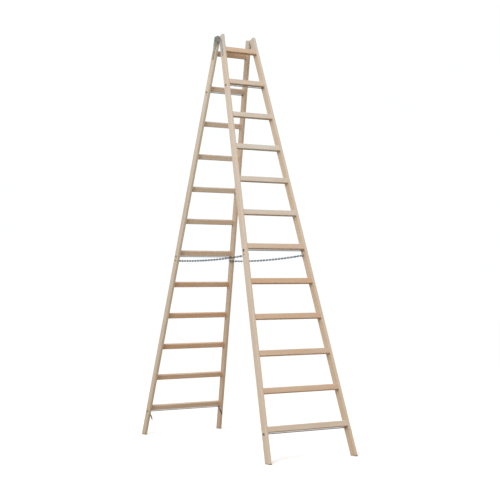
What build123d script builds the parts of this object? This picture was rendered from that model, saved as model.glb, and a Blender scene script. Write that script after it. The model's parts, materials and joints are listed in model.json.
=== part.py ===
from build123d import *

import os
from math import asin, cos, hypot, pi, radians, sin, sqrt, tan

# Wooden A-frame ladder. Millimetres, X along the rungs, front section towards -Y, Z up from the floor.

# Stance
half_angle = 17.3  # lean of each section from the vertical, degrees
section_gap = 3.0  # from the plane between the folded sections to the nearer edge of a stile
half_width = 156.4  # from the middle to a stile's outer face, level with the hinge axis
taper_angle = 3.69  # spread of each stile, degrees
top_clearance = 2.0  # how far the stile tops stop short of butting in the open stance

# Stiles
stile_depth = 63.0
stile_thickness = 22.0
stile_round = 4.0
stile_top_round = 9.0

# Rungs, numbered from the floor
rung_count = 12
rung_pitch = 280.0
top_rung_pitch = 295.0  # the uppermost gaps are a little wider
wide_gaps = 2
top_rung_drop = 131.2  # from the hinge axis down the section
bottom_gap = 252.0  # from the bottom rung's middle down the climbing edge to the floor
rung_height = 44.0
rung_depth = 30.0
rung_round = 6.0
rung_set_back = 3.7  # behind the climbing edge of the stile
tenon_height = 28.0
tenon_depth = 16.0
tenon_length = 14.0
glue_gap = 0.1

# Tie rods under some rungs
rod_diameter = 8.0
rod_below_rung = 6.0  # axis below the rung's underside
rod_end = 3.0  # thread past the nut
rod_washer_diameter = 20.0
rod_washer_thickness = 1.6
rod_nut_across = 13.0
rod_nut_height = 6.5
seat_depth = 1.0  # spot face that sits the washer square to the rod
seat_margin = 1.0
hole_clearance = 0.2
thread_clearance = 0.05

# Hinges
plate_thickness = 4.0
plate_length = 185.0  # from the hinge axis to the end of the tongue
tongue_width = 30.0
tenon_margin = 3.3  # wood between the top rung's tenon and the screws beside it
knuckle_radius = 18.0
strap_drop = 56.0  # where the front plates' slanting straps turn into their tongues
head_radius = 9.0  # corners of the back plates' broad heads
head_margin = 3.0  # from the heads to the edges of the stile
head_drop = 58.0
neck_drop = 96.0  # where the back plates' heads have narrowed to their tongues
bend_drop = 38.5
joggle_drop = 12.0
pivot_diameter = 10.0
pivot_head_diameter = 20.0
pivot_head_height = 6.0
pivot_foot_diameter = 16.0  # the rivet's flat inner head, sunk in the stiles' corners
pivot_foot_height = 2.5
pocket_clearance = 0.5
running_clearance = 0.05
side_clearance = 0.3  # between faces that turn past each other
head_slope = 30.0  # sloping sides of the rivet and screw heads, degrees
screw_diameter = 5.0
screw_head_diameter = 10.0
screw_head_height = 3.0
screw_length = 17.0  # in the wood
plate_screw_count = 3
plate_screw_pitch = 41.0
plate_screw_margin = 17.0  # from the end of the tongue

# Chain eyes, below the middle tie rod
eye_below_rung = 60.0  # from the rung's middle
eye_setting = 27.0  # from the stile's inner edge
eye_wire = 5.0
eye_ring_radius = 8.5  # to the middle of the wire
eye_stand_off = 1.0
eye_end = 2.0  # thread past the nut
eye_nut_across = 8.0
eye_nut_height = 4.0
eye_flange_diameter = 14.0
eye_flange_thickness = 1.5

# Chains
chain_sag = 15.0
link_pitch = 24.0
link_wire = 4.6
link_inner_width = 7.6
link_play = 0.15  # half of the slack where two links meet
link_end_facets = 3

# Hooks
hook_below_rung = 46.0  # from the bottom rung's middle
hook_setting = 22.0  # from the stile's inner edge
hook_droop = 25.0  # below square to the stile, degrees
hook_thickness = 3.0
hook_arm_width = 14.0
hook_hub_radius = 9.0
hook_wall = 4.0  # metal round the cup that takes the tie rod
hook_lip_height = 1.5  # far lip above the tie rod's middle
hook_slack = 0.8
hook_screw_diameter = 5.0
hook_screw_head_diameter = 11.0
hook_screw_head_height = 3.5
hook_screw_length = 18.0  # in the wood
hook_washer_diameter = 14.0
hook_washer_thickness = 1.5

# Worked out from the sizes above
lean = radians(half_angle)
taper = radians(taper_angle)
top_overrun = section_gap / tan(lean) - top_clearance
climbing_edge = section_gap + stile_depth
rung_setting = climbing_edge - rung_set_back - rung_depth / 2
rod_setting = section_gap + stile_depth / 2
tongue_setting = rung_setting - tenon_depth / 2 - tenon_margin - screw_diameter / 2
rung_numbers = range(1, rung_count + 1)
tied_rungs = {"bottom": 1, "middle": rung_count // 2, "top": rung_count - 1}
chained_rung = tied_rungs["middle"]
plate_screw_drops = [
    plate_length - plate_screw_margin - number * plate_screw_pitch for number in range(plate_screw_count)
]
FRONT = -1
BACK = 1


def rung_drop(number):
    """Distance down the section from the hinge axis to a rung's middle."""
    gaps = rung_count - number
    wide = min(gaps, wide_gaps)
    return top_rung_drop + wide * top_rung_pitch + (gaps - wide) * rung_pitch


floor_drop = rung_drop(1) + bottom_gap
pivot_height = floor_drop * cos(lean) - climbing_edge * sin(lean)


def rod_drop(number):
    return rung_drop(number) + rung_height / 2 + rod_below_rung


def outer_half(drop):
    return half_width + drop * tan(taper)


def inner_half(drop):
    return outer_half(drop) - stile_thickness / cos(taper)


def seat_reach(number):
    """Where the washer of a tie rod seats, measured from the middle of the ladder."""
    return outer_half(rod_drop(number)) - seat_depth


# Every piece is drawn on its section's own right-hand side, and mirrored for the other side
def section_plane(facing):
    """Frame on the hinge axis: x along the rungs, y up the section, z out of its climbing face."""
    return Plane(
        origin=(0, 0, pivot_height),
        x_dir=(-facing, 0, 0),
        z_dir=(0, facing * cos(lean), sin(lean)),
    )


def side_plane(facing, reach):
    """View square to the rungs: x towards the climbing face, y up the section, z inwards."""
    section = section_plane(facing)
    return Plane(
        origin=section.origin + section.x_dir * reach,
        x_dir=section.z_dir,
        z_dir=-section.x_dir,
    )


def flank_plane(facing, inset):
    """Like the side view, but laid along the stile, at a depth below its outer face."""
    section = section_plane(facing)
    inward = -section.x_dir * cos(taper) - section.y_dir * sin(taper)
    return Plane(
        origin=section.origin + section.x_dir * half_width + inward * inset,
        x_dir=section.z_dir,
        z_dir=inward,
    )


def flank_spot(setting, drop):
    """A point on the stile, given by its distances from the hinge axis."""
    return (setting, -drop / cos(taper))


# Stiles and rungs
def make_stile(facing):
    flank = flank_plane(facing, 0)
    length = top_overrun + floor_drop / cos(taper) + stile_thickness
    with BuildPart() as stile:
        with BuildSketch(flank) as outline:
            with Locations((section_gap + stile_depth / 2, top_overrun)):
                Rectangle(stile_depth, length, align=(Align.CENTER, Align.MAX))
            fillet(outline.vertices().group_by(Axis.Y)[-1], stile_top_round)
        extrude(amount=stile_thickness)
        flat_sides = stile.faces().filter_by(lambda face: abs(face.normal_at().dot(flank.z_dir)) > 0.99)
        fillet(flat_sides.edges().sort_by(Axis.Z)[2:], stile_round)
        split(bisect_by=Plane.XY, keep=Keep.TOP)
        for number in rung_numbers:
            with BuildSketch(side_plane(facing, 0)):
                with Locations((rung_setting, -rung_drop(number))):
                    Rectangle(tenon_depth + 2 * glue_gap, tenon_height + 2 * glue_gap)
            extrude(
                amount=-(inner_half(rung_drop(number)) + tenon_length + glue_gap),
                mode=Mode.SUBTRACT,
            )
        for number in tied_rungs.values():
            with BuildSketch(side_plane(facing, seat_reach(number))):
                with Locations((rod_setting, -rod_drop(number))):
                    Circle(rod_diameter / 2 + hole_clearance)
            extrude(amount=2 * stile_thickness, mode=Mode.SUBTRACT)
            with BuildSketch(side_plane(facing, seat_reach(number))):
                with Locations((rod_setting, -rod_drop(number))):
                    Circle(rod_washer_diameter / 2 + seat_margin)
            extrude(amount=-stile_thickness, mode=Mode.SUBTRACT)
        with BuildSketch(flank):
            with Locations(*[flank_spot(tongue_setting, drop) for drop in plate_screw_drops]):
                Circle(screw_diameter / 2 + thread_clearance)
        extrude(amount=screw_length + glue_gap, mode=Mode.SUBTRACT)
        with BuildSketch(flank):
            with Locations(chain_eye_spot()):
                Circle(eye_wire / 2 + hole_clearance)
        extrude(amount=stile_thickness, mode=Mode.SUBTRACT)
        with BuildSketch(side_plane(facing, pivot_foot_reach() - pocket_clearance)):
            Circle(pivot_foot_diameter / 2 + pocket_clearance)
        extrude(amount=-stile_thickness, mode=Mode.SUBTRACT)
        if facing == BACK:
            with BuildSketch(flank_plane(facing, stile_thickness)):
                with Locations(hook_spot()):
                    Circle(hook_screw_diameter / 2 + thread_clearance)
            extrude(amount=-(hook_screw_length + glue_gap), mode=Mode.SUBTRACT)
    return stile


def make_rung(facing, number):
    drop = rung_drop(number)
    with BuildPart() as rung:
        with BuildSketch(side_plane(facing, 0)):
            with Locations((rung_setting, -drop)):
                RectangleRounded(rung_depth, rung_height, rung_round)
        extrude(amount=-outer_half(drop))
        split(bisect_by=flank_plane(facing, stile_thickness), keep=Keep.TOP)
        with BuildSketch(side_plane(facing, 0)):
            with Locations((rung_setting, -drop)):
                Rectangle(tenon_depth, tenon_height)
        extrude(amount=-(inner_half(drop) + tenon_length))
        mirror(about=Plane.YZ)
    return rung


# Tie rods
def make_tie_rod(facing, number):
    half_length = seat_reach(number) + rod_washer_thickness + rod_nut_height + rod_end
    with BuildPart() as rod:
        with BuildSketch(side_plane(facing, 0)):
            with Locations((rod_setting, -rod_drop(number))):
                Circle(rod_diameter / 2)
        extrude(amount=half_length, both=True)
        chamfer(rod.edges().filter_by(GeomType.CIRCLE), rod_diameter / 10)
    return rod


def make_rod_washers(facing):
    with BuildPart() as washers:
        for number in tied_rungs.values():
            with BuildSketch(side_plane(facing, seat_reach(number))):
                with Locations((rod_setting, -rod_drop(number))):
                    Circle(rod_washer_diameter / 2)
                    Circle(rod_diameter / 2 + hole_clearance, mode=Mode.SUBTRACT)
            extrude(amount=-rod_washer_thickness)
        mirror(about=Plane.YZ)
    return washers


def make_rod_nuts(facing):
    with BuildPart() as nuts:
        for number in tied_rungs.values():
            with BuildSketch(side_plane(facing, seat_reach(number) + rod_washer_thickness)):
                with Locations((rod_setting, -rod_drop(number))):
                    RegularPolygon(rod_nut_across / 2, 6, major_radius=False)
                    Circle(rod_diameter / 2 + thread_clearance, mode=Mode.SUBTRACT)
            extrude(amount=-rod_nut_height)
        mirror(about=Plane.YZ)
    return nuts


# Hinges: the back plates lie close to the stiles, and the front plates are joggled out to pass over them
def head_reach(facing):
    """Inner face of a hinge plate's head, measured from the middle of the ladder."""
    stacked = plate_thickness + side_clearance if facing == FRONT else 0.0
    return outer_half(bend_drop) + stacked


def pivot_foot_reach():
    """Inner end of the pivot rivet, measured from the middle of the ladder."""
    return head_reach(BACK) - side_clearance - pivot_foot_height


def make_hinge_plate(facing):
    bend_end = bend_drop + joggle_drop
    tongue_end = plate_length - tongue_width / 2
    inner_line = [
        (head_reach(facing), knuckle_radius),
        (head_reach(facing), -bend_drop),
        (outer_half(bend_end), -bend_end),
        (outer_half(plate_length), -plate_length),
    ]
    outer_line = [(reach + plate_thickness, height) for reach, height in reversed(inner_line)]
    head_inset = head_margin + head_radius
    head_corners = [
        (climbing_edge - head_inset, top_overrun - head_inset),
        (climbing_edge - head_inset, -head_drop),
        (section_gap + head_inset, -head_drop),
    ]
    tongue_start = strap_drop if facing == FRONT else neck_drop
    with BuildPart() as plate:
        with BuildSketch(section_plane(facing).offset(-knuckle_radius)):
            with BuildLine():
                Polyline(inner_line + outer_line, close=True)
            make_face()
        extrude(amount=knuckle_radius + climbing_edge)
        with BuildSketch(side_plane(facing, 0)):
            Circle(knuckle_radius)
            if facing == BACK:
                with Locations(*head_corners):
                    Circle(head_radius)
            with Locations((tongue_setting, -tongue_start)):
                Circle(tongue_width / 2)
            make_hull()
            with Locations((tongue_setting, -(tongue_start + tongue_end) / 2)):
                SlotCenterToCenter(tongue_end - tongue_start, tongue_width, rotation=90)
            Circle(pivot_diameter / 2 + running_clearance, mode=Mode.SUBTRACT)
        extrude(amount=-2 * outer_half(plate_length), mode=Mode.INTERSECT)
        with BuildSketch(flank_plane(facing, 0)):
            with Locations(*[flank_spot(tongue_setting, drop) for drop in plate_screw_drops]):
                Circle(screw_diameter / 2 + hole_clearance)
        extrude(amount=-2 * plate_thickness, mode=Mode.SUBTRACT)
    return plate


def make_hinge_screws(facing):
    spots = [flank_spot(tongue_setting, drop) for drop in plate_screw_drops]
    plate_face = plate_thickness * cos(taper)
    with BuildPart() as screws:
        with BuildSketch(flank_plane(facing, -plate_face)):
            with Locations(*spots):
                Circle(screw_head_diameter / 2)
        extrude(amount=-screw_head_height, taper=head_slope)
        with BuildSketch(flank_plane(facing, -plate_face)):
            with Locations(*spots):
                Circle(screw_diameter / 2)
        extrude(amount=plate_face + screw_length)
        mirror(about=Plane.YZ)
    return screws


def make_pivot_rivet():
    head_seat = head_reach(FRONT) + plate_thickness + side_clearance
    foot = pivot_foot_reach()
    with BuildPart() as rivet:
        with BuildSketch(side_plane(FRONT, foot)):
            Circle(pivot_foot_diameter / 2)
        extrude(amount=-pivot_foot_height)
        with BuildSketch(side_plane(FRONT, foot)):
            Circle(pivot_diameter / 2)
        extrude(amount=foot - head_seat)
        with BuildSketch(side_plane(FRONT, head_seat)):
            Circle(pivot_head_diameter / 2)
        extrude(amount=-pivot_head_height, taper=head_slope)
    return rivet


# Chain eyes: the ring lies square to the stile, so that its inner side runs along the rungs
def chain_eye_spot():
    return flank_spot(section_gap + eye_setting, rung_drop(chained_rung) + eye_below_rung)


def eye_inset():
    """Middle of the ring below the stile's outer face."""
    return stile_thickness + eye_stand_off + eye_wire / 2 + eye_ring_radius


def make_chain_eyes(facing):
    flank = flank_plane(facing, eye_inset())
    middle = flank.from_local_coords(Vector(*chain_eye_spot()))
    shank_start = eye_inset() - eye_ring_radius
    shank_end = eye_flange_thickness + eye_nut_height + eye_end
    with BuildPart() as eyes:
        with Locations(Plane(origin=middle, x_dir=flank.x_dir, z_dir=flank.y_dir)):
            Torus(eye_ring_radius, eye_wire / 2)
        with BuildSketch(flank_plane(facing, shank_start)):
            with Locations(chain_eye_spot()):
                Circle(eye_wire / 2)
        extrude(amount=-(shank_start + shank_end))
        mirror(about=Plane.YZ)
    return eyes


def make_eye_nuts(facing):
    with BuildPart() as nuts:
        with BuildSketch(flank_plane(facing, 0)):
            with Locations(chain_eye_spot()):
                Circle(eye_flange_diameter / 2)
        extrude(amount=-eye_flange_thickness)
        with BuildSketch(flank_plane(facing, -eye_flange_thickness)):
            with Locations(chain_eye_spot()):
                RegularPolygon(eye_nut_across / 2, 6, major_radius=False)
        extrude(amount=-eye_nut_height)
        with BuildSketch(flank_plane(facing, 0)):
            with Locations(chain_eye_spot()):
                Circle(eye_wire / 2 + thread_clearance)
        extrude(amount=-(eye_flange_thickness + eye_nut_height), mode=Mode.SUBTRACT)
        mirror(about=Plane.YZ)
    return nuts


# Chains: each hangs from one ring's inner side to the other's in a shallow arc
def ring_side():
    """Middle of the front ring's wire where the chain pulls on it."""
    across, along = chain_eye_spot()
    return flank_plane(FRONT, eye_inset()).from_local_coords(Vector(across - eye_ring_radius, along))


def link_outline(end_radius, inner_length):
    """Corners of a long loop, whose facets touch a half circle at each end from outside."""
    step = pi / (link_end_facets + 1)
    stretch = end_radius / cos(step / 2)
    straight = (inner_length - link_inner_width) / 2
    corners = []
    for end in (1, -1):
        for number in range(link_end_facets + 1):
            angle = -pi / 2 + (number + 0.5) * step
            corners.append((end * (straight + stretch * cos(angle)), end * stretch * sin(angle)))
    return corners


def make_link(inner_length):
    """One link of six-sided wire, lying flat."""
    half_height = link_wire * sqrt(3) / 4
    with BuildPart() as link:
        with BuildSketch():
            Polygon(*link_outline(link_inner_width / 2 + link_wire, inner_length), align=None)
        extrude(amount=half_height, both=True, taper=30)
        with BuildSketch():
            Polygon(*link_outline(link_inner_width / 2, inner_length), align=None)
        extrude(amount=half_height, both=True, taper=-30, mode=Mode.SUBTRACT)
    return link


def make_chain_halves():
    ring = ring_side()
    half_span = abs(ring.Y)
    arc_radius = (half_span**2 + chain_sag**2) / (2 * chain_sag)
    grip = eye_wire / 2 + link_play
    half_sweep = asin(half_span / arc_radius) + grip / arc_radius
    link_count = 2 * round(half_sweep * arc_radius / link_pitch - 0.5) + 1
    sweep = 2 * half_sweep / link_count
    link = make_link(2 * arc_radius * sin(sweep / 2) + 2 * link_play)
    centre_height = ring.Z - chain_sag + arc_radius
    middle_radius = arc_radius * cos(sweep / 2)
    places = []
    for number in range(link_count):
        angle = (number + 0.5) * sweep - half_sweep
        along = Vector(0, cos(angle), sin(angle))
        across = Vector(0, -sin(angle), cos(angle))
        middle = Vector(ring.X, 0, centre_height) - across * middle_radius
        upright = number % 2 == 0
        places.append(Plane(origin=middle, x_dir=along, z_dir=(1, 0, 0) if upright else across))
    front_links = (link_count + 1) // 2
    halves = []
    for run in (places[:front_links], places[front_links:]):
        with BuildPart() as half:
            with Locations(*run):
                add(link.part)
        halves.append(half)
    return halves


# Hooks: each turns on a screw in a back stile, and its cup comes up under the front section's bottom tie rod
def hook_spot():
    return flank_spot(section_gap + hook_setting, rung_drop(1) + hook_below_rung)


def hook_inset():
    """Outer face of the hook below the stile's outer face."""
    return stile_thickness + hook_washer_thickness + side_clearance


def hook_reach():
    """From the hook's screw to the front section's bottom tie rod, with the sections folded together."""
    across, along = hook_spot()
    depth = hook_inset() + hook_thickness / 2
    rod_along = depth * tan(taper) - rod_drop(tied_rungs["bottom"]) / cos(taper)
    return hypot(across + rod_setting, rod_along - along)


def make_hook():
    face = flank_plane(BACK, hook_inset())
    droop = radians(hook_droop)
    arm = Plane(
        origin=face.from_local_coords(Vector(*hook_spot())),
        x_dir=-face.x_dir * cos(droop) - face.y_dir * sin(droop),
        z_dir=-face.z_dir,
    )
    cup = rod_diameter / 2 + hook_slack
    with BuildPart() as hook:
        with BuildSketch(arm):
            Circle(hook_hub_radius)
            Rectangle(hook_reach() - cup, hook_arm_width, align=(Align.MIN, Align.CENTER))
            with Locations((hook_reach(), 0)):
                Circle(cup + hook_wall)
                Circle(cup, mode=Mode.SUBTRACT)
                Rectangle(2 * cup, 2 * cup, align=(Align.CENTER, Align.MIN), mode=Mode.SUBTRACT)
            with Locations((hook_reach() - cup, hook_lip_height)):
                Rectangle(4 * cup, 4 * cup, align=Align.MIN, mode=Mode.SUBTRACT)
            Circle(hook_screw_diameter / 2 + running_clearance, mode=Mode.SUBTRACT)
        extrude(amount=-hook_thickness)
    return hook


def make_hook_screws():
    seat = hook_inset() + hook_thickness + side_clearance
    with BuildPart() as screws:
        with BuildSketch(flank_plane(BACK, seat)):
            with Locations(hook_spot()):
                Circle(hook_screw_head_diameter / 2)
        extrude(amount=hook_screw_head_height, taper=head_slope)
        with BuildSketch(flank_plane(BACK, seat)):
            with Locations(hook_spot()):
                Circle(hook_screw_diameter / 2)
        extrude(amount=stile_thickness - seat - hook_screw_length)
        mirror(about=Plane.YZ)
    return screws


def make_hook_washers():
    with BuildPart() as washers:
        with BuildSketch(flank_plane(BACK, stile_thickness)):
            with Locations(hook_spot()):
                Circle(hook_washer_diameter / 2)
                Circle(hook_screw_diameter / 2 + hole_clearance, mode=Mode.SUBTRACT)
        extrude(amount=hook_washer_thickness)
        mirror(about=Plane.YZ)
    return washers


# Writing the pieces
def save(piece, name):
    piece.part.label = name
    export_step(piece.part, f"parts/{name}.step")


def save_pair(piece, name, mirrored_name):
    save(piece, name)
    with BuildPart() as twin:
        mirror(piece.part, about=Plane.YZ)
    save(twin, mirrored_name)


os.makedirs("parts", exist_ok=True)
for end, facing in (("front", FRONT), ("back", BACK)):
    drawn, mirrored = ("right", "left") if facing == FRONT else ("left", "right")
    save_pair(make_stile(facing), f"{end}_{drawn}_stile", f"{end}_{mirrored}_stile")
    for number in rung_numbers:
        save(make_rung(facing, number), f"{end}_rung_{number:02d}")
    for place, number in tied_rungs.items():
        save(make_tie_rod(facing, number), f"{end}_{place}_tie_rod")
    save(make_rod_washers(facing), f"{end}_tie_rod_washers")
    save(make_rod_nuts(facing), f"{end}_tie_rod_nuts")
    plate = make_hinge_plate(facing)
    save_pair(plate, f"{end}_{drawn}_hinge_plate", f"{end}_{mirrored}_hinge_plate")
    save(make_hinge_screws(facing), f"{end}_hinge_screws")
    save(make_chain_eyes(facing), f"{end}_chain_eyes")
    save(make_eye_nuts(facing), f"{end}_chain_eye_nuts")

save_pair(make_pivot_rivet(), "right_pivot_rivet", "left_pivot_rivet")
front_half, back_half = make_chain_halves()
save_pair(front_half, "right_chain_front_half", "left_chain_front_half")
save_pair(back_half, "right_chain_back_half", "left_chain_back_half")
save_pair(make_hook(), "left_hook", "right_hook")
save(make_hook_screws(), "hook_screws")
save(make_hook_washers(), "hook_washers")
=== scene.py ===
import json
from math import asin, cos, pi, radians, sin

import bpy
from mathutils import Matrix, Vector


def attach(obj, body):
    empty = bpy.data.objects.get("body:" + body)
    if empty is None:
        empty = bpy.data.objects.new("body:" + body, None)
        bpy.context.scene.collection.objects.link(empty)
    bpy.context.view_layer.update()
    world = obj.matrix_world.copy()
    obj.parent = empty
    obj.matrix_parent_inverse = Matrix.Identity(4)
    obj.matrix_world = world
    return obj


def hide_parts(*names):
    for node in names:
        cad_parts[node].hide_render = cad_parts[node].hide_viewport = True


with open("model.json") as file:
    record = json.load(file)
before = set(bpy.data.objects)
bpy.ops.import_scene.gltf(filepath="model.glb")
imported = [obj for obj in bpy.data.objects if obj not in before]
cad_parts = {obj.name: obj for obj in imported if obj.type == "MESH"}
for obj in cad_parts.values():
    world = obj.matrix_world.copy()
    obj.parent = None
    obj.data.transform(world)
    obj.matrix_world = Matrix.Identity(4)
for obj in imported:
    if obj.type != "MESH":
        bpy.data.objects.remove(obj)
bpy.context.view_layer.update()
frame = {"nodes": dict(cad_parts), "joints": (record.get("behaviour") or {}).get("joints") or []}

nodes = frame["nodes"]

# The ladder's own sizes, in metres: +X along the rungs, the front section towards -Y
LEAN = radians(17.3)
TAPER = radians(3.69)
HALF_WIDTH = 0.1564  # to a stile's outer face, level with the hinge axis
SECTION_GAP = 0.003  # from the plane between the folded sections to a stile
STILE_DEPTH = 0.063
STILE_THICKNESS = 0.022
RUNG_COUNT = 12
RUNG_PITCH = 0.28
TOP_RUNG_PITCH = 0.295  # the uppermost gaps are a little wider
WIDE_GAPS = 2
TOP_RUNG_DROP = 0.1312  # from the hinge axis down the section
RUNG_DEPTH = 0.03
RUNG_SET_BACK = 0.0037  # behind the climbing edge of the stile
EYE_WIRE = 0.005
LINK_WIRE = 0.0046
LINK_INNER_WIDTH = 0.0076
LINK_PLAY = 0.00015  # half of the slack where two links meet
LINK_COUNT = 49
CHAIN_SAG = 0.015
RUNG_SETTING = SECTION_GAP + STILE_DEPTH - RUNG_SET_BACK - RUNG_DEPTH / 2
BOTTOM_RUNG_DROP = TOP_RUNG_DROP + WIDE_GAPS * TOP_RUNG_PITCH + (RUNG_COUNT - 1 - WIDE_GAPS) * RUNG_PITCH
ENDS = {"front": -1, "back": 1}
SIDES = {"left": -1, "right": 1}
X_AXIS = Vector((1, 0, 0))


def joint_place(name):
    return Vector(next(joint["pos_m"] for joint in frame["joints"] if joint["name"] == name))


PIVOT = joint_place("fold")


def up_section(end):
    """Up along a section, from the floor to the hinge."""
    return Vector((0, -ENDS[end] * sin(LEAN), cos(LEAN)))


def out_of_section(end):
    """Square to a section, out of its climbing face."""
    return Vector((0, ENDS[end] * cos(LEAN), sin(LEAN)))


def up_stile(end, side):
    return up_section(end) * cos(TAPER) - X_AXIS * SIDES[side] * sin(TAPER)


def out_of_stile(end, side):
    return X_AXIS * SIDES[side] * cos(TAPER) + up_section(end) * sin(TAPER)


# Materials
class Signal:
    """A number that a socket carries, for use in sums."""

    def __init__(self, finish, socket):
        self.finish = finish
        self.socket = socket

    def sum(self, operation, *terms):
        return self.finish.add("ShaderNodeMath", {"operation": operation}, dict(enumerate(terms)))

    def __add__(self, other):
        return self.sum("ADD", self, other)

    def __radd__(self, other):
        return self.sum("ADD", other, self)

    def __sub__(self, other):
        return self.sum("SUBTRACT", self, other)

    def __rsub__(self, other):
        return self.sum("SUBTRACT", other, self)

    def __mul__(self, other):
        return self.sum("MULTIPLY", self, other)

    def __rmul__(self, other):
        return self.sum("MULTIPLY", other, self)

    def __truediv__(self, other):
        return self.sum("DIVIDE", self, other)

    def __pow__(self, other):
        return self.sum("POWER", self, other)

    def __abs__(self):
        return self.sum("ABSOLUTE", self)

    def floor(self):
        return self.sum("FLOOR", self)

    def sine(self):
        return self.sum("SINE", self)

    def least(self, other):
        return self.sum("MINIMUM", self, other)

    def step(self, low, high):
        """0 up to low, 1 from high on and a smooth rise between them, in either direction."""
        return self.finish.add(
            "ShaderNodeMapRange",
            {"interpolation_type": "SMOOTHSTEP", "clamp": True},
            {"Value": self, "From Min": low, "From Max": high},
        )


class Finish:
    """A material in the making."""

    def __init__(self, name):
        self.material = bpy.data.materials.new(name)
        self.material.use_nodes = True
        self.tree = self.material.node_tree
        self.tree.nodes.clear()

    def add(self, kind, settings=None, inputs=None, out=0):
        """Adds a node, and gives one of its outputs."""
        node = self.tree.nodes.new(kind)
        for name, value in (settings or {}).items():
            setattr(node, name, value)
        for name, value in (inputs or {}).items():
            if isinstance(value, Signal):
                self.tree.links.new(value.socket, node.inputs[name])
            else:
                node.inputs[name].default_value = value
        return Signal(self, node.outputs[out]) if node.outputs else None

    def place(self):
        return self.add("ShaderNodeTexCoord", out="Object")

    def facing(self):
        return self.add("ShaderNodeTexCoord", out="Normal")

    def along(self, vector, direction):
        """How far a vector reaches in a direction."""
        return self.add(
            "ShaderNodeVectorMath",
            {"operation": "DOT_PRODUCT"},
            {0: vector, 1: direction},
            out="Value",
        )

    def vector(self, x, y, z):
        return self.add("ShaderNodeCombineXYZ", inputs={"X": x, "Y": y, "Z": z})

    def noise(self, vector, scale=1.0, detail=2.0, roughness=0.5):
        return self.add(
            "ShaderNodeTexNoise",
            inputs={"Vector": vector, "Scale": scale, "Detail": detail, "Roughness": roughness},
        )

    def chance(self, number):
        """A number from 0 to 1 that is fixed for each whole number."""
        return self.add("ShaderNodeTexWhiteNoise", {"noise_dimensions": "1D"}, {"W": number}, out="Value")

    def mix(self, share, first, second, blend="MIX"):
        """Colours mixed by share."""
        return self.add(
            "ShaderNodeMix",
            {"data_type": "RGBA", "blend_type": blend, "clamp_factor": True},
            {0: share, 6: first, 7: second},
            out=2,
        )

    def tint(self, share, colour, stain):
        """A colour under a see-through stain, as strong as share."""
        return self.mix(share, colour, stain, blend="MULTIPLY")

    def bump(self, height, distance):
        return self.add("ShaderNodeBump", inputs={"Height": height, "Distance": distance})

    def close(self, colour, roughness, normal, metallic=0.0, specular=0.5):
        """Ends in the surface shader, and gives the finished material."""
        surface = self.add(
            "ShaderNodeBsdfPrincipled",
            inputs={
                "Base Color": colour,
                "Roughness": roughness,
                "Normal": normal,
                "Metallic": metallic,
                "Specular IOR Level": specular,
            },
        )
        self.add("ShaderNodeOutputMaterial", inputs={"Surface": surface})
        return self.material


def shade(red, green, blue):
    return (red, green, blue, 1.0)


# Woods
PALE_PINE = shade(0.622, 0.530, 0.441)
PINE_RING = shade(0.496, 0.367, 0.256)
PINE_RING_SPACING = 0.0034
PALE_BEECH = shade(0.615, 0.567, 0.500)
RED_BEECH = shade(0.589, 0.395, 0.255)
BEECH_RING_SPACING = 0.0042
END_GRAIN = shade(0.340, 0.235, 0.155)
WEATHERED_GREY = shade(0.46, 0.44, 0.40)
# Darkens the lowest centimetre of each foot
FOOT_END_DARK = shade(0.120, 0.090, 0.072)

# Stains and painted shade, which multiply the colour under them
PINE_PATCH = shade(0.93, 0.85, 0.74)
BEECH_PATCH = shade(0.92, 0.84, 0.74)
BEECH_FLECK = shade(0.740, 0.640, 0.550)
# Painted shade: darker and warmer towards the floor
LOW_WARM_SHADE = shade(0.985, 0.94, 0.89)
# Painted shade on the inner side of each stile: darker and warmer
INNER_SIDE_SHADE = shade(0.985, 0.95, 0.88)
HANDLED_EDGE = shade(0.86, 0.78, 0.68)
TRODDEN_TOP = shade(0.82, 0.76, 0.70)
BOARDS = {
    ("front", "left"): shade(0.975, 0.99, 1.0),
    ("front", "right"): shade(1.0, 1.0, 1.0),
    ("back", "left"): shade(0.94, 0.965, 0.955),
    ("back", "right"): shade(0.945, 0.92, 0.905),
}

# Metals
DULL_STEEL = shade(0.30, 0.29, 0.27)
PALE_YELLOW = shade(0.52, 0.46, 0.33)
DEEP_YELLOW = shade(0.30, 0.25, 0.17)
# Near black: grease and painted shade round the hinge axis, and darkening lower down
ZINC_DARKENING = shade(0.045, 0.045, 0.036)
LACQUER_BLACK = shade(0.022, 0.020, 0.013)
LACQUER_OLIVE = shade(0.058, 0.052, 0.034)


def grain_height(finish, along, across, depth):
    """Fine fibres, drawn out along the wood."""
    return finish.noise(finish.vector(across * 1500, depth * 1500, along * 26), detail=3)


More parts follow.
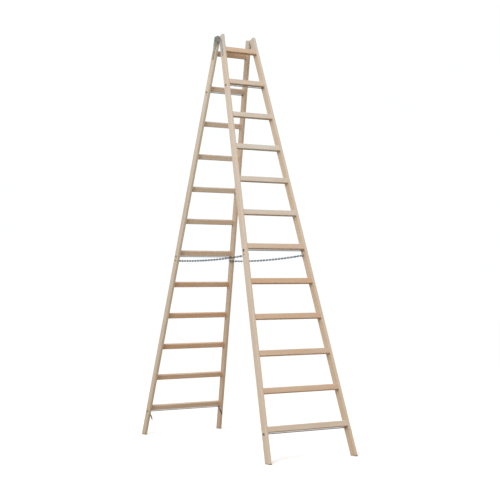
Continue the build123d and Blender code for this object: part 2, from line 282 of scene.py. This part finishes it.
def stile_wood(end, side, seed):
    """Pine with growth rings round a heart that lies outside the board."""
    finish = Finish(f"{end}_{side}_stile_pine")
    place = finish.place()
    upwards = up_stile(end, side)
    climbing_way = out_of_section(end)
    outwards = out_of_stile(end, side)
    outer_face = X_AXIS * SIDES[side] * HALF_WIDTH + PIVOT
    board_shift = 3.7 * seed
    along = finish.along(place, upwards) + board_shift
    across = finish.along(place, climbing_way) - (climbing_way.dot(PIVOT) + SECTION_GAP + STILE_DEPTH / 2)
    depth = finish.along(place, outwards) - (outwards.dot(outer_face) - STILE_THICKNESS / 2)

    wander = finish.noise(finish.vector(across * 5, depth * 5, along * 0.9), detail=2) - 0.5
    heart_across = 0.018 * (seed - 2.5)
    heart_depth = -0.055 - 0.006 * seed
    reach = ((across - heart_across) ** 2 + (depth - heart_depth) ** 2) ** 0.5
    ring = ((reach + wander * 0.030) * (2 * pi / PINE_RING_SPACING)).sine() * 0.5 + 0.5
    late = ring ** 3
    patch = finish.noise(finish.vector(across * 22, depth * 22, along * 1.3), detail=2)
    fibre = grain_height(finish, along, across, depth)

    colour = finish.mix(late * 0.42 + (fibre - 0.5) * 0.25, PALE_PINE, PINE_RING)
    colour = finish.tint(patch.step(0.40, 0.72) * 0.55, colour, PINE_PATCH)
    colour = finish.tint(1.0, colour, BOARDS[end, side])
    floor_height = finish.along(place, (0, 0, 1))
    # Painted shade: darker and warmer from 3 m down to the floor, in full below 0.2 m
    colour = finish.tint(floor_height.step(3.0, 0.2), colour, LOW_WARM_SHADE)
    # Painted shade: the inner side of each stile, facing the rungs, darker and warmer
    colour = finish.tint(depth.step(0.004, -0.010), colour, INNER_SIDE_SHADE)
    section_height = finish.along(place, up_section(end)) - up_section(end).dot(PIVOT)
    greyed = section_height.step(-0.20, 0.0)
    colour = finish.mix(greyed * (0.3 + patch * 0.5), colour, WEATHERED_GREY)
    cut_end = abs(finish.along(finish.facing(), upwards)).step(0.75, 0.95)
    colour = finish.mix(cut_end * (0.55 + late * 0.35), colour, END_GRAIN)
    climbing_face = finish.along(finish.facing(), climbing_way).step(0.3, 0.8)
    # Darker along the lowest centimetre of each foot, in a ragged line, most on the climbing face
    foot_end_darkening = (floor_height - patch * 0.006).step(0.010, 0.002)
    colour = finish.mix(foot_end_darkening * (0.3 + climbing_face * 0.6), colour, FOOT_END_DARK)
    near_edge = (abs(across) - STILE_DEPTH / 2).least(abs(depth) - STILE_THICKNESS / 2)
    handled = near_edge.step(-0.0045, -0.0005)
    colour = finish.tint(handled * 0.22, colour, HANDLED_EDGE)
    roughness = 0.58 - late * 0.08 + fibre * 0.12 - handled * 0.06 + cut_end * 0.15
    normal = finish.bump(fibre * 0.6 + late * 0.4, 0.00025)
    return finish.close(colour, roughness, normal, specular=0.35)


def rung_wood(end, seed, paleness_and_shade):
    """Beech, each rung from its own plank, with a slow drift from red to pale up the section."""
    finish = Finish(f"{end}_rung_beech")
    place = finish.place()
    along = finish.along(place, X_AXIS)
    upwards = up_section(end)
    climbing_way = out_of_section(end)
    across = finish.along(place, climbing_way) - (climbing_way.dot(PIVOT) + RUNG_SETTING)
    height = finish.along(place, upwards) - (upwards.dot(PIVOT) - BOTTOM_RUNG_DROP)
    rung = (height / RUNG_PITCH + 0.45).floor()
    odd = finish.chance(rung + seed)
    drift = (rung * 0.63 + 2.9).sine()
    # The planks' own tone, and for the back rungs painted warm shade as well
    plank = paleness_and_shade + drift * 0.4 + (odd - 0.5) * 0.3
    turn = finish.chance(rung + seed + 0.37)
    level = height - rung * RUNG_PITCH

    shifted = along + odd * 9
    wander = finish.noise(finish.vector(shifted * 1.1, across * 6, level * 6), detail=2) - 0.5
    reach = ((across + (turn - 0.5) * 0.12) ** 2 + (level + 0.07 + odd * 0.05) ** 2) ** 0.5
    ring = ((reach + wander * 0.024) * (2 * pi / BEECH_RING_SPACING)).sine() * 0.5 + 0.5
    late = ring ** 2
    patch = finish.noise(finish.vector(shifted * 5, across * 30, level * 30), detail=2)
    fibre = grain_height(finish, shifted, across, level)
    speck = finish.noise(finish.vector(shifted * 150, across * 700, level * 700), detail=1)
    fleck = speck.step(0.62, 0.70)

    colour = finish.mix(plank, RED_BEECH, PALE_BEECH)
    colour = finish.tint(late * 0.30 + fleck * 0.35 + (fibre - 0.5) * 0.2, colour, BEECH_FLECK)
    colour = finish.tint(patch.step(0.36, 0.66) * 0.5, colour, BEECH_PATCH)
    cut_end = abs(finish.along(finish.facing(), X_AXIS)).step(0.8, 0.95)
    colour = finish.mix(cut_end * 0.6, colour, END_GRAIN)
    trodden = finish.along(finish.facing(), upwards).step(0.5, 0.95)
    colour = finish.tint(trodden * (0.10 + patch * 0.15), colour, TRODDEN_TOP)
    roughness = 0.54 - late * 0.06 + fibre * 0.12 - trodden * 0.08
    normal = finish.bump(fibre * 0.7 + late * 0.3, 0.0002)
    return finish.close(colour, roughness, normal, specular=0.38)


def zinc(name, light, dark, rough, spangle, pivot_grease_and_shade=0.0, low_darkening=0.0):
    """Zinc plating with a cloudy bloom, grease and painted shade round the hinge axis, and darkening
    lower down.
    """
    finish = Finish(name)
    place = finish.place()
    cloud = finish.noise(place, scale=spangle, detail=3, roughness=0.6)
    rubbed = finish.noise(place, scale=1400, detail=2)
    stain = finish.noise(place, scale=spangle * 0.3, detail=2).step(0.55, 0.75)
    colour = finish.mix(cloud.step(0.3, 0.7), light, dark)
    colour = finish.mix(stain * 0.35, colour, DULL_STEEL)
    away_y = finish.along(place, (0, 1, 0)) - PIVOT.y
    away_z = finish.along(place, (0, 0, 1)) - PIVOT.z
    away = (away_y ** 2 + away_z ** 2) ** 0.5
    smear = finish.noise(place, scale=60, detail=5, roughness=0.65).step(0.35, 0.65)
    # Grease and painted shade: a dark mottled halo within 10 cm of the hinge axis, where the plates
    # overlap
    grease_and_shade = away.step(0.10, 0.03) * (0.2 + smear * 0.8)
    colour = finish.mix(grease_and_shade * pivot_grease_and_shade, colour, ZINC_DARKENING)
    # Darker lower down, in full from 1.3 m under the hinge axis
    low_down = away_z.step(-0.5, -1.3)
    colour = finish.mix(low_down * low_darkening, colour, ZINC_DARKENING)
    roughness = rough + (cloud - 0.5) * 0.25 + rubbed * 0.08
    normal = finish.bump(rubbed + cloud, 0.00004)
    return finish.close(colour, roughness, normal, metallic=1.0)


def black_lacquer():
    """Thin black lacquer on the hooks, worn to the steel in specks."""
    finish = Finish("hook_black_lacquer")
    place = finish.place()
    cloud = finish.noise(place, scale=160, detail=3)
    chip = finish.noise(place, scale=520, detail=3, roughness=0.7).step(0.66, 0.72)
    colour = finish.mix(cloud, LACQUER_BLACK, LACQUER_OLIVE)
    colour = finish.mix(chip * 0.8, colour, DULL_STEEL)
    normal = finish.bump(cloud - chip * 0.5, 0.00006)
    return finish.close(colour, 0.55 - chip * 0.1, normal, metallic=chip * 0.8, specular=0.25)


def dress(material, *names):
    """Gives CAD nodes their finish."""
    for name in names:
        nodes[name].material_slots[0].material = material


# Chains
def deselect():
    if bpy.context.object and bpy.context.object.mode != "OBJECT":
        bpy.ops.object.mode_set(mode="OBJECT")
    bpy.ops.object.select_all(action="DESELECT")


def round_wire_link(inner_length):
    """One link of round wire, lying flat at the origin with its length along X."""
    deselect()
    bend = LINK_INNER_WIDTH / 2 + LINK_WIRE / 2
    segments = 16
    bpy.ops.mesh.primitive_torus_add(
        major_radius=bend,
        minor_radius=LINK_WIRE / 2,
        major_segments=segments,
        minor_segments=8,
        rotation=(0, 0, pi / segments),
    )
    link = bpy.context.object
    bpy.ops.object.transform_apply(location=True, rotation=True, scale=True)
    straight = (inner_length - LINK_INNER_WIDTH) / 2
    for way in (1, -1):
        bpy.ops.object.mode_set(mode="EDIT")
        bpy.ops.mesh.select_mode(type="VERT")
        bpy.ops.mesh.select_all(action="DESELECT")
        bpy.ops.object.mode_set(mode="OBJECT")
        for vertex in link.data.vertices:
            vertex.select = vertex.co.x * way > 0
        bpy.ops.object.mode_set(mode="EDIT")
        bpy.ops.transform.translate(value=(way * straight, 0, 0))
        bpy.ops.object.mode_set(mode="OBJECT")
    bpy.ops.object.shade_smooth()
    return link


def hang_chains(material):
    """Both chains, link by link, each in the two halves that turn with the fold."""
    ring = joint_place("right_chain_front_swing")
    half_span = abs(ring.y)
    arc_radius = (half_span**2 + CHAIN_SAG**2) / (2 * CHAIN_SAG)
    grip = EYE_WIRE / 2 + LINK_PLAY
    half_sweep = asin(half_span / arc_radius) + grip / arc_radius
    sweep = 2 * half_sweep / LINK_COUNT
    link = round_wire_link(2 * arc_radius * sin(sweep / 2) + 2 * LINK_PLAY)
    link.data.materials.append(material)
    front_links = (LINK_COUNT + 1) // 2
    runs = {"front": range(front_links), "back": range(front_links, LINK_COUNT)}
    for side, sign in SIDES.items():
        for end, run in runs.items():
            copies = []
            for number in run:
                angle = (number + 0.5) * sweep - half_sweep
                length = Vector((0, cos(angle), sin(angle)))
                lift = Vector((0, -sin(angle), cos(angle)))
                flat = X_AXIS if number % 2 == 0 else lift
                middle = Vector((sign * ring.x, 0, ring.z - CHAIN_SAG + arc_radius))
                middle -= lift * arc_radius * cos(sweep / 2)
                turn = Matrix((length, flat.cross(length), flat)).transposed()
                copy = link.copy()
                copy.data = link.data.copy()
                copy.data.transform(Matrix.Translation(middle) @ turn.to_4x4())
                bpy.context.collection.objects.link(copy)
                copies.append(copy)
            deselect()
            for copy in copies:
                copy.select_set(True)
            bpy.context.view_layer.objects.active = copies[0]
            bpy.ops.object.join()
            half = bpy.context.object
            name = f"{side}_chain_{end}_half"
            half.name = f"{side}_chain_{end}_links"
            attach(half, name)
            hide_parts(name)
    bpy.data.objects.remove(link)


# Finishes on the CAD nodes
for seed, (end, side) in enumerate(BOARDS, start=1):
    dress(stile_wood(end, side, seed), f"{end}_{side}_stile")
# The back rungs' lower paleness, 0.43 against 0.5, is painted warm shade
for end, seed, paleness_and_shade in (("front", 0, 0.5), ("back", 20, 0.43)):
    dress(rung_wood(end, seed, paleness_and_shade), *[name for name in nodes if name.startswith(f"{end}_rung_")])

front_plate_zinc = zinc(
    "front_hinge_plate_zinc",
    light=shade(0.50, 0.50, 0.48),
    dark=shade(0.31, 0.305, 0.28),
    rough=0.42,
    spangle=90,
    pivot_grease_and_shade=0.85,
)
back_plate_zinc = zinc(
    "back_hinge_plate_zinc",
    light=shade(0.44, 0.41, 0.31),
    dark=shade(0.29, 0.265, 0.185),
    rough=0.42,
    spangle=70,
    pivot_grease_and_shade=0.85,
)
bolt_zinc = zinc(
    "fastener_zinc",
    light=shade(0.46, 0.48, 0.50),
    dark=shade(0.24, 0.25, 0.26),
    rough=0.36,
    spangle=260,
)
yellow_zinc = zinc(
    "yellow_zinc",
    light=PALE_YELLOW,
    dark=DEEP_YELLOW,
    rough=0.40,
    spangle=260,
)
# Yellow zinc darkened lower down, for the front tie rods' nuts
low_darkened_zinc = zinc(
    "low_darkened_yellow_zinc",
    light=PALE_YELLOW,
    dark=DEEP_YELLOW,
    rough=0.40,
    spangle=260,
    low_darkening=0.6,
)
rod_zinc = zinc(
    "tie_rod_zinc",
    light=shade(0.37, 0.36, 0.33),
    dark=shade(0.21, 0.205, 0.185),
    rough=0.30,
    spangle=120,
)
chain_zinc = zinc(
    "chain_zinc",
    light=shade(0.130, 0.135, 0.125),
    dark=shade(0.055, 0.058, 0.053),
    rough=0.40,
    spangle=300,
)
hook_lacquer = black_lacquer()
for name in nodes:
    if name.endswith("hinge_plate"):
        dress(front_plate_zinc if name.startswith("front") else back_plate_zinc, name)
    elif name.endswith("tie_rod"):
        dress(rod_zinc, name)
    elif name == "front_tie_rod_nuts":
        dress(low_darkened_zinc, name)
    elif name.endswith(("tie_rod_washers", "nuts")):
        dress(yellow_zinc, name)
    elif name.endswith("rivet"):
        dress(back_plate_zinc, name)
    elif name.endswith(("hook_washers", "screws", "eyes")):
        dress(bolt_zinc, name)
    elif name.endswith("half"):
        dress(chain_zinc, name)
    elif name.endswith("hook"):
        dress(hook_lacquer, name)

hang_chains(chain_zinc)


# Floor, light and camera
def pale_floor():
    """Pale to the eye, with little light thrown back up at the ladder."""
    deselect()
    bpy.ops.mesh.primitive_plane_add(size=60)
    floor = bpy.context.object
    floor.name = "floor"
    finish = Finish("floor_pale")
    direct = finish.add("ShaderNodeLightPath", out="Is Camera Ray")
    mirrored = finish.add("ShaderNodeLightPath", out="Is Glossy Ray")
    white = finish.add("ShaderNodeBsdfDiffuse", inputs={"Color": shade(1.0, 0.966, 0.935)})
    dull = finish.add("ShaderNodeBsdfDiffuse", inputs={"Color": shade(0.215, 0.13, 0.03)})
    surface = finish.add("ShaderNodeMixShader", inputs={0: direct + mirrored, 1: dull, 2: white})
    finish.add("ShaderNodeOutputMaterial", inputs={"Surface": surface})
    floor.data.materials.append(finish.material)


def soft_light():
    """An even white sky, and one wide lamp from the front left."""
    world = bpy.data.worlds.new("studio")
    bpy.context.scene.world = world
    world.use_nodes = True
    sky = world.node_tree.nodes["Background"]
    sky.inputs["Color"].default_value = shade(1.0, 1.035, 1.07)
    sky.inputs["Strength"].default_value = 1.0
    lamp = bpy.data.lights.new("front_lamp", "AREA")
    lamp.energy = 420
    lamp.size = 4.0
    lamp_place = bpy.data.objects.new("front_lamp", lamp)
    bpy.context.collection.objects.link(lamp_place)
    lamp_place.location = (-6.5, -5.0, 6.0)
    ladder_middle = Vector((0, 0, 1.6))
    aim = ladder_middle - lamp_place.location
    lamp_place.rotation_euler = aim.to_track_quat("-Z", "Y").to_euler()


def photo_camera():
    """The photograph's own viewpoint."""
    viewpoint = Vector((-4.329, -7.7925, 1.1666))
    yaw = radians(29.701)
    pitch = radians(3.654)
    roll = radians(-0.779)
    forward = Vector((sin(yaw) * cos(pitch), cos(yaw) * cos(pitch), sin(pitch)))
    level = Vector((cos(yaw), -sin(yaw), 0))
    upright = level.cross(forward)
    right = level * cos(roll) + upright * sin(roll)
    top = upright * cos(roll) - level * sin(roll)
    lens = bpy.data.cameras.new("photo_camera")
    lens.sensor_width = 36
    lens.sensor_fit = "HORIZONTAL"
    lens.lens = 78.45
    lens.shift_y = -0.04
    camera = bpy.data.objects.new("photo_camera", lens)
    bpy.context.collection.objects.link(camera)
    stand = Matrix((right, top, -forward)).transposed().to_4x4()
    camera.matrix_world = Matrix.Translation(viewpoint) @ stand
    bpy.context.scene.camera = camera


pale_floor()
soft_light()
photo_camera()
bpy.context.scene.view_settings.view_transform = "Standard"
